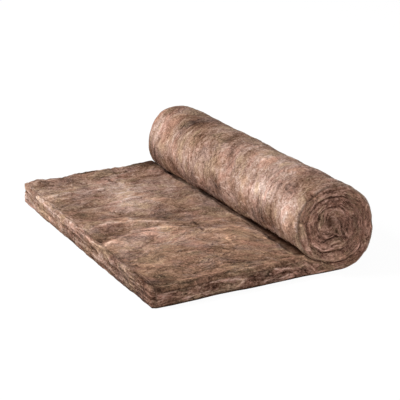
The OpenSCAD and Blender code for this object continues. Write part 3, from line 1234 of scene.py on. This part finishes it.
# So do their places in a bundle, their thickness and their lift. Loose ends stray, and all strands
# keep a margin from the ends of the width.
ALONG_SPREAD = 0.010
ACROSS_SPREAD = 0.006
THICKNESSES = (0.5, 1.2)
LIFTS = (-0.2, 1.0)
STRAY = (-0.001, 0.0018)
SIDE_MARGIN = 0.003
# Lightness against the wool they lie on
PALE_SHARE = 0.75
PALE_TONES = (0.05, 0.32)
DARK_TONES = (-0.26, -0.05)

GRID_NORMAL = unit(np.cross(np.roll(GRID, -1, axis=1) - np.roll(GRID, 1, axis=1), np.gradient(GRID, axis=0)))
_top_columns = np.flatnonzero(ON_TOP)
ROW_PLACE = GRID_Y[:, _top_columns[len(_top_columns) // 2]]


def on_grid(layer, along, y):
    """Values of a layer of the swept skin between its corners, at places along and across it."""
    column = np.interp(along, ALONG, np.arange(COLUMNS))
    row = np.interp(y, ROW_PLACE, np.arange(ROWS))
    c0, r0 = np.floor(column).astype(int), np.minimum(np.floor(row).astype(int), ROWS - 2)
    c, r = column - c0, row - r0
    c1 = (c0 + 1) % COLUMNS
    if layer.ndim == 3:
        c, r = c[..., None], r[..., None]
    near = mix(layer[r0, c0], layer[r0, c1], c)
    far = mix(layer[r0 + 1, c0], layer[r0 + 1, c1], c)
    return mix(near, far, r)


def bundled(rng, count, low, high, spread):
    """Values for the strands, which lie in bundles: those of a bundle are alike but for a spread."""
    bundles = rng.uniform(low, high, (count // BUNDLE + 1, 1))
    return np.repeat(bundles, BUNDLE, axis=0)[:count] + rng.normal(0.0, spread, (count, 1))


def strand_lines(rng, count, length, slant, curl):
    """Straggling lines about zero: how far each goes along and across, point by point."""
    size = length * rng.lognormal(0.0, LENGTH_SPREAD, (count, 1))
    heading = bundled(rng, count, -slant, slant, HEADING_SPREAD)
    heading = heading + rng.normal(0.0, BEND_SPREAD, (count, 1)) * (SHARES - 0.5)
    turns = SHARES * rng.uniform(*CURL_TURNS, (count, 1)) + rng.random((count, 1))
    wave = curl * rng.normal(0.0, 1.0, (count, 1)) * np.sin(TURN * turns)
    forward = size * (SHARES - 0.5) * np.cos(heading)
    sideways = size * (SHARES - 0.5) * np.sin(heading) + wave
    return forward, sideways


def strand_tones(rng, count):
    """Lightness of each strand against the wool it lies on."""
    pale = rng.random(count) < PALE_SHARE
    return np.where(pale, rng.uniform(*PALE_TONES, count), rng.uniform(*DARK_TONES, count))


def strand_faces():
    """Triangles of one strand: a fan at its first point, bands between its rings, a fan at its last."""
    last = STRAND_CORNERS - 1
    sides = [(i, (i + 1) % 3) for i in range(3)]
    faces = [(0, 1 + b, 1 + a) for a, b in sides]
    for ring, (a, b) in product(range(1, last - 3, 3), sides):
        faces += [(ring + a, ring + b, ring + b + 3), (ring + a, ring + b + 3, ring + a + 3)]
    return np.array(faces + [(last - 3 + a, last - 3 + b, last) for a, b in sides])


def strand_mesh(name, centre, normal, radius, tone, run, warm):
    """One mesh of all the strands whose centre lines and surface normals are given."""
    count = len(centre)
    off_floor = np.maximum(centre[:, :, 2:], radius[:, None, None])
    centre = np.concatenate([centre[:, :, :2], off_floor], axis=2)
    tangent = unit(np.gradient(centre, axis=1))
    side = unit(np.cross(normal, tangent))
    up = np.cross(tangent, side)
    swell = np.sqrt(np.sin(math.pi * SHARES[1:-1]))[None, :, None, None]
    turn = np.radians([90.0, 210.0, 330.0])[None, None, :, None]
    ring = np.cos(turn) * side[:, 1:-1, None, :] + np.sin(turn) * up[:, 1:-1, None, :]
    ring = centre[:, 1:-1, None, :] + radius[:, None, None, None] * swell * ring
    corners = np.concatenate([centre[:, :1], ring.reshape(count, -1, 3), centre[:, -1:]], axis=1)
    faces = strand_faces() + (np.arange(count) * STRAND_CORNERS)[:, None, None]
    runs = np.repeat(run, [1] + [3] * STRAND_RINGS + [1], axis=1)
    none = np.zeros(count * STRAND_CORNERS)
    values = {
        "wool": runs.reshape(-1, 3),
        "tone": np.repeat(tone, STRAND_CORNERS),
        "crevice_shade": none,
        "warm": none + warm,
        "tan": none,
    }
    return new_mesh(name, corners.reshape(-1, 3), faces.reshape(-1, 3).tolist(), values)


# Strands on the swept skin: a seed, how many, between which lengths along the outline, how long,
# how far they turn to either side, how far they curl, how thick, and whether they lie across
Strands = namedtuple("Strands", "seed count first last long slant curl thick across", defaults=(False,))
# The strands keep clear of the nip and of the floor by a few points of the outline
SKIN_STRANDS = {
    "strands_laid_top": Strands(101, 2600, TOP_START, ALONG[ON_TOP][-14], 0.045, 0.9, 0.004, 0.0005),
    "strands_roll": Strands(102, 3600, ALONG[ON_ROLL][10], ALONG[ON_ROLL][-4], 0.040, 1.1, 0.004, 0.00045),
    "strands_cut_end": Strands(103, 900, CUT_START, ALONG[ON_TOP][2], 0.070, 0.12, 0.0020, 0.0007, True),
}
# Strands on the two ends: seed and side. On both, it is set how many there are, their length, slant
# and curl, their thickness, between which shares of the depth they lie, from which length along the
# blanket to how far round the roll, and how near they come to the rim.
END_STRANDS = {"strands_front_end": (104, -1.0), "strands_back_end": (105, 1.0)}
END_COUNT = 2600
END_LINE = (0.030, 0.35, 0.0015)
END_THICK = 0.0006
END_DEPTHS = (0.002, 1.0)
END_FIRST = 0.02
END_WOUND = 1.55
STRAND_MARGIN = 0.001
# Mean radius of the turns, as a share of the roll's
MEAN_R = 0.62


def skin_strands(name, kind):
    """Strands on the swept skin between two lengths along its outline."""
    rng = np.random.default_rng(kind.seed)
    each = (kind.count, 1)
    forward, sideways = strand_lines(rng, kind.count, kind.long, kind.slant, kind.curl)
    if kind.across:
        forward, sideways = sideways, forward
    along = bundled(rng, kind.count, kind.first, kind.last, ALONG_SPREAD) + forward
    along = np.clip(along, kind.first, kind.last)
    y_end = END_Y - SIDE_MARGIN
    y = np.clip(bundled(rng, kind.count, -y_end, y_end, ACROSS_SPREAD) + sideways, -y_end, y_end)
    radius = kind.thick * rng.uniform(*THICKNESSES, kind.count)
    normal = on_grid(GRID_NORMAL, along, y)
    stray = np.maximum(rng.normal(*STRAY, each), 0.0) * (2.0 * SHARES - 1.0) ** 2
    lift = radius[:, None] * rng.uniform(*LIFTS, each) + stray
    centre = on_grid(GRID, along, y) + normal * lift[:, :, None]
    tone = strand_tones(rng, kind.count) + on_grid(GRID_LIGHT, along, y).mean(axis=1)
    run = np.stack([along, y, np.zeros_like(y)], axis=2)
    return strand_mesh(name, centre, normal, radius, tone, run, 0.0)


def strand_places(length, depth, sideways):
    """Places on an end by length, share of the depth and a step sideways, and which are in the roll."""
    in_roll = length > LAID + FLAT
    phi = np.maximum(length - LAID - FLAT, 0.0) / (ROLL_R * MEAN_R)
    wound_x, wound_z = winding_point(phi, depth * PITCH + sideways)
    flat_x = CUT_X + np.clip(length, END_FIRST, LAID)
    top = laid_thickness(flat_x)
    x = np.where(in_roll, wound_x, flat_x)
    z = np.where(in_roll, wound_z, top * (1.0 - depth) + sideways)
    thick = np.where(in_roll, PITCH, top)
    return np.stack([x, z, length, depth * thick, thick], axis=2), in_roll


def end_strands(name, seed, side):
    """Strands on one end of the blanket, which follow its layers round the roll and along the sheet."""
    rng = np.random.default_rng(seed)
    forward, sideways = strand_lines(rng, END_COUNT, *END_LINE)
    depth = rng.uniform(*END_DEPTHS, (END_COUNT, 1))
    length = rng.uniform(END_FIRST, LAID + END_WOUND, (END_COUNT, 1)) + forward
    places, in_roll = strand_places(length, depth, sideways)
    flat = places.reshape(-1, 5)
    inside, gap = inside_by(flat[:, :2], end_loop(side), STRAND_MARGIN)
    whole = in_roll.all(axis=1) | ~in_roll.any(axis=1)
    whole &= inside.reshape(END_COUNT, STRAND_POINTS).all(axis=1)
    whole &= np.abs(np.diff(places[:, :, 0], axis=1)).max(axis=1) <= FLAT / 2
    surface, light, _ = end_surface(flat, gap, in_roll.ravel(), side)
    centre = surface.reshape(END_COUNT, STRAND_POINTS, 3)[whole]
    normal = np.broadcast_to((0.0, side, 0.0), centre.shape)
    radius = END_THICK * rng.uniform(*THICKNESSES, len(centre))
    centre = centre + normal * radius[:, None, None]
    tone = strand_tones(rng, len(centre)) + light.reshape(END_COUNT, STRAND_POINTS)[whole].mean(axis=1)
    return strand_mesh(name, centre, normal, radius, tone, end_run(places[whole], side), 1.0)


def new_mesh(name, corners, faces, values):
    """A smooth mesh with its values at the corners: numbers, or vectors."""
    mesh = bpy.data.meshes.new(name)
    mesh.from_pydata(corners.tolist(), [], faces)
    for key, value in values.items():
        kind, field = ("FLOAT", "value") if value.ndim == 1 else ("FLOAT_VECTOR", "vector")
        layer = mesh.attributes.new(key, kind, "POINT")
        layer.data.foreach_set(field, value.astype(np.float32).ravel())
    mesh.polygons.foreach_set("use_smooth", np.ones(len(mesh.polygons), dtype=bool))
    mesh.update()
    piece = bpy.data.objects.new(name, mesh)
    bpy.context.collection.objects.link(piece)
    return piece


# Materials
class Nodes:
    """Adds shader nodes to one material or world in a few words each."""

    def __init__(self, owner):
        owner.use_nodes = True
        self.tree = owner.node_tree

    def fill(self, node, inputs):
        """Sets or links a node's inputs, which are named or in order."""
        for socket, value in inputs.items() if isinstance(inputs, dict) else enumerate(inputs):
            if isinstance(value, bpy.types.NodeSocket):
                self.tree.links.new(value, node.inputs[socket])
            else:
                node.inputs[socket].default_value = value

    def add(self, kind, inputs=(), **settings):
        node = self.tree.nodes.new(kind)
        for key, value in settings.items():
            setattr(node, key, value)
        self.fill(node, inputs)
        return node

    def get(self, kind, inputs=(), output=0, **settings):
        """One output of a new node."""
        return self.add(kind, inputs, **settings).outputs[output]

    def attribute(self, name, output="Fac"):
        return self.get("ShaderNodeAttribute", output=output, attribute_name=name)

    def math(self, operation, a, b=0.0):
        return self.get("ShaderNodeMath", (a, b), operation=operation)

    def weighed(self, first, *gains):
        """The first value and the others, each by its gain, added up."""
        for value, gain in gains:
            first = self.math("ADD", first, self.math("MULTIPLY", value, gain))
        return first

    def noise(self, vector, along, across, detail, roughness=0.6, distortion=0.0):
        """Noise by how many waves go to a metre along the vector's first way and across it."""
        scaled = self.get("ShaderNodeVectorMath", (vector, (along, across, across)), operation="MULTIPLY")
        look = {"Scale": 1.0, "Detail": detail, "Roughness": roughness, "Distortion": distortion}
        return self.get("ShaderNodeTexNoise", {"Vector": scaled, **look}, "Fac", noise_dimensions="3D")

    def lines(self, vector, along, across, level, width):
        """One along the thin winding lines where a noise passes a level, and zero elsewhere."""
        value = self.noise(vector, along, across, 1.0, 0.5)
        return self.span(self.math("ABSOLUTE", self.math("SUBTRACT", value, level)), 0.0, width, 1.0, 0.0)

    def bent(self, vector, place, scale, reach):
        """The vector pushed about by a coarse noise, so that what follows it curls."""
        look = {"Vector": place, "Scale": scale, "Detail": 2.0}
        swirl = self.get("ShaderNodeTexNoise", look, "Color", noise_dimensions="3D")
        return self.get("ShaderNodeVectorMath", (swirl, (reach,) * 3, vector), operation="MULTIPLY_ADD")

    def span(self, value, low, high, to_low=0.0, to_high=1.0):
        inputs = (value, low, high, to_low, to_high)
        return self.get("ShaderNodeMapRange", inputs, interpolation_type="SMOOTHSTEP")

    def blend(self, share, a, b, mode="MIX"):
        return self.get("ShaderNodeMix", {0: share, 6: a, 7: b}, 2, data_type="RGBA", blend_type=mode)

    def by_ray(self, lit, shown):
        """One shader for light, and one for rays from the camera, or seen in a mirror or through glass."""
        path = self.add("ShaderNodeLightPath").outputs
        seen = self.math("MAXIMUM", path["Is Camera Ray"], path["Is Glossy Ray"])
        seen = self.math("MAXIMUM", seen, path["Is Transmission Ray"])
        return self.get("ShaderNodeMixShader", (seen, lit, shown))


def linear(red, green, blue):
    """A colour as written on screen, in the renderer's linear values."""
    parts = [v / 255.0 for v in (red, green, blue)]
    return tuple(p / 12.92 if p <= 0.04045 else ((p + 0.055) / 1.055) ** 2.4 for p in parts) + (1.0,)


# The wool's colours from dark to light, the tints that play over them, the painted shade of its
# crevices, and its sheen
WOOL_TONES = (
    (0.00, linear(58, 35, 25)),
    (0.25, linear(106, 75, 59)),
    (0.50, linear(151, 121, 104)),
    (0.75, linear(188, 161, 149)),
    (1.00, linear(229, 211, 200)),
)
WARM_BROWN = linear(157, 122, 97)
RED_BROWN = linear(152, 110, 94)
OLIVE_BROWN = linear(152, 127, 102)
GREY_BROWN = linear(156, 129, 118)
RUSSET = linear(118, 82, 68)
TAN = linear(136, 104, 80)
CREVICE_SHADE = linear(50, 24, 12)
SHEEN = linear(214, 186, 166)
# How the run of the fibres is bent: waves to a metre, and reach
BENDS = ((11.0, 0.06), (45.0, 0.014))
# Noises of the wool: waves to a metre along and across, and detail
STREAKS = (13.0, 40.0, 3.0)
CURLS = (52.0, 85.0, 3.0)
WISPS = (60.0, 130.0, 2.0)
GRAIN = (160.0, 160.0, 2.0)
HUE = (10.0, 10.0, 4.0)
TINGE = (9.0, 20.0, 4.0)
# Threads: waves to a metre along and across, the level they follow and their width, and where the
# hue shows them and how light they are
PALE_LINES = (16.0, 60.0, 0.5, 0.050)
PALE_SPAN = (0.40, 0.58, 0.0, 0.26)
DARK_LINES = (18.0, 48.0, 0.46, 0.055)
DARK_SPAN = (0.60, 0.42, 0.0, -0.30)
THREAD_LEAST = 0.55
# Mean lightness, and what streaks, curls, wisps and grain add to it
MEAN_TONE = 0.56
TONE_GAINS = (0.40, 0.50, 0.52, 0.80)
# What curls, wisps, grain and threads add to the bump
BUMP_GAINS = (0.5, 0.6, 0.4, 0.8)
BUMP = {"Strength": 0.8, "Distance": 0.008}
# Where hue and tinge bring in each tint, and how much of it
RUSSET_SHARE = 0.7
WARM_SPAN = (0.50, 0.65, 0.0, 0.55)
GREY_SPAN = (0.50, 0.35, 0.0, 0.75)
RED_SPAN = (0.50, 0.64, 0.0, 0.50)
OLIVE_SPAN = (0.49, 0.36, 0.0, 0.60)
# How the painted shade of a crevice darkens the wool and takes its shine
CREVICE_SHADE_SPAN = (0.0, 1.0, 0.0, 0.94)
SHINE_SPAN = (0.0, 0.8, 0.06, 0.0)
SHEEN_SPAN = (0.0, 0.8, 0.04, 0.0)


def tone_ramp(n, level):
    """The wool's colour by its lightness."""
    ramp = n.add("ShaderNodeValToRGB", (level,))
    stops = ramp.color_ramp.elements
    while len(stops) < len(WOOL_TONES):
        stops.new(0.5)
    for stop, (place, colour) in zip(stops, WOOL_TONES):
        stop.position = place
        stop.color = colour
    return ramp.outputs[0]


def wool_material():
    material = bpy.data.materials.new("mineral_wool")
    n = Nodes(material)
    warm, crevice_shade = n.attribute("warm"), n.attribute("crevice_shade")
    place = n.get("ShaderNodeTexCoord", output="Object")
    run = n.attribute("wool", "Vector")
    for bend in BENDS:
        run = n.bent(run, place, *bend)
    streaks, wisps, tinge = (n.noise(run, *look) for look in (STREAKS, WISPS, TINGE))
    curls = n.noise(run, *CURLS, distortion=1.0)
    grain, hue = n.noise(place, *GRAIN), n.noise(place, *HUE)
    pale = n.math("MULTIPLY", n.lines(run, *PALE_LINES), n.span(hue, *PALE_SPAN))
    dark = n.math("MULTIPLY", n.lines(run, *DARK_LINES), n.span(hue, *DARK_SPAN))
    thread = n.math("MULTIPLY", n.math("ADD", pale, dark), n.math("ADD", warm, THREAD_LEAST))
    level = n.math("ADD", n.attribute("tone"), MEAN_TONE - 0.5 * sum(TONE_GAINS))
    level = n.weighed(n.math("ADD", level, thread), *zip((streaks, curls, wisps, grain), TONE_GAINS))
    colour = tone_ramp(n, level)
    tints = (
        (n.attribute("tan"), TAN),
        # The russet tint follows the warm share, which on the end faces is painted shade colour
        (n.math("MULTIPLY", warm, RUSSET_SHARE), RUSSET),
        (n.span(hue, *WARM_SPAN), WARM_BROWN),
        (n.math("MULTIPLY", n.span(hue, *GREY_SPAN), n.math("SUBTRACT", 1.0, warm)), GREY_BROWN),
        (n.span(tinge, *RED_SPAN), RED_BROWN),
        (n.span(tinge, *OLIVE_SPAN), OLIVE_BROWN),
    )
    for share, tint in tints:
        colour = n.blend(share, colour, tint, "COLOR")
    height = n.weighed(0.0, *zip((curls, wisps, grain, thread), BUMP_GAINS))
    n.fill(material.node_tree.nodes["Principled BSDF"], {
        "Base Color": n.blend(n.span(crevice_shade, *CREVICE_SHADE_SPAN), colour, CREVICE_SHADE),
        "Roughness": 0.95,
        "Specular IOR Level": n.span(crevice_shade, *SHINE_SPAN),
        "Sheen Weight": n.span(crevice_shade, *SHEEN_SPAN),
        "Sheen Roughness": 0.6,
        "Sheen Tint": SHEEN,
        "Normal": n.get("ShaderNodeBump", {**BUMP, "Height": height}, "Normal"),
    })
    return material


# The floor and the backdrop are near white to the camera, and send only soft light to the wool
WHITE = (1.0, 1.0, 1.0, 1.0)
FLOOR_LIT = (0.8, 0.8, 0.8, 1.0)
FLOOR_SHOWN = (0.07, 0.07, 0.07, 1.0)
FLOOR_GLOW = 0.955
FLOOR_HALF = 20.0
FLOOR_Z = -0.001
AMBIENT = 0.34


def floor_material():
    material = bpy.data.materials.new("pale_floor")
    n = Nodes(material)
    n.tree.nodes.clear()
    matt, pale = (n.get("ShaderNodeBsdfDiffuse", {"Color": grey}) for grey in (FLOOR_LIT, FLOOR_SHOWN))
    glow = n.get("ShaderNodeEmission", {"Color": WHITE, "Strength": FLOOR_GLOW})
    shown = n.get("ShaderNodeAddShader", (pale, glow))
    n.add("ShaderNodeOutputMaterial", {"Surface": n.by_ray(matt, shown)})
    return material


def make_world():
    world = bpy.data.worlds.new("studio")
    bpy.context.scene.world = world
    n = Nodes(world)
    n.tree.nodes.clear()
    light, backdrop = (
        n.get("ShaderNodeBackground", {"Color": WHITE, "Strength": strength}) for strength in (AMBIENT, 1.0)
    )
    n.add("ShaderNodeOutputWorld", {"Surface": n.by_ray(light, backdrop)})


def make_floor():
    mesh = bpy.data.meshes.new("floor")
    signs = ((-1, -1), (1, -1), (1, 1), (-1, 1))
    mesh.from_pydata([(x * FLOOR_HALF, y * FLOOR_HALF, FLOOR_Z) for x, y in signs], [], [(0, 1, 2, 3)])
    floor = bpy.data.objects.new("floor", mesh)
    bpy.context.collection.objects.link(floor)
    mesh.materials.append(floor_material())


# The camera fitted to the photo's outline, with its angles in degrees, and its lens and sensor in
# millimetres
CAMERA_AZIMUTH = -27.76
CAMERA_ELEVATION = 19.25
CAMERA_DISTANCE = 5.126
CAMERA_TARGET = Vector((0.2086, 0.2915, 0.0))
CAMERA_LENS = 112.1
SENSOR = 36.0
# Lamps: azimuth, elevation, distance, size, and how bright each makes a white card that faces it
LAMPS = {"key": (-113.0, 38.0, 8.0, 2.5, 1.22), "fill": (-12.0, 12.0, 8.0, 4.0, 0.20)}


def aimed(data, azimuth, elevation, distance, target):
    """A new object that looks at a target from an azimuth and elevation in degrees."""
    a, e = math.radians(azimuth), math.radians(elevation)
    back = Vector((math.sin(a) * math.cos(e), -math.cos(a) * math.cos(e), math.sin(e)))
    thing = bpy.data.objects.new(data.name, data)
    bpy.context.collection.objects.link(thing)
    thing.location = target + back * distance
    thing.rotation_mode = "QUATERNION"
    thing.rotation_quaternion = (-back).to_track_quat("-Z", "Y")
    return thing


def make_camera():
    data = bpy.data.cameras.new("camera")
    data.lens = CAMERA_LENS
    data.sensor_width = SENSOR
    camera = aimed(data, CAMERA_AZIMUTH, CAMERA_ELEVATION, CAMERA_DISTANCE, CAMERA_TARGET)
    bpy.context.scene.camera = camera


def make_lamp(name, azimuth, elevation, distance, size, level):
    """A square soft lamp, aimed at the origin."""
    data = bpy.data.lights.new(name, "AREA")
    data.shape = "SQUARE"
    data.size = size
    data.energy = level * math.pi**2 * distance**2
    aimed(data, azimuth, elevation, distance, Vector())


blanket = new_mesh("wool_blanket_soft", *closed_mesh())
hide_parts("wool_blanket")
wool_pieces = [blanket]
wool_pieces += [skin_strands(name, kind) for name, kind in SKIN_STRANDS.items()]
wool_pieces += [end_strands(name, seed, side) for name, (seed, side) in END_STRANDS.items()]
wool_look = wool_material()
for piece in wool_pieces:
    piece.data.materials.append(wool_look)
    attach(piece, "root")

make_camera()
for name, lamp in LAMPS.items():
    make_lamp(name, *lamp)
make_world()
make_floor()
bpy.context.scene.view_settings.view_transform = "Standard"
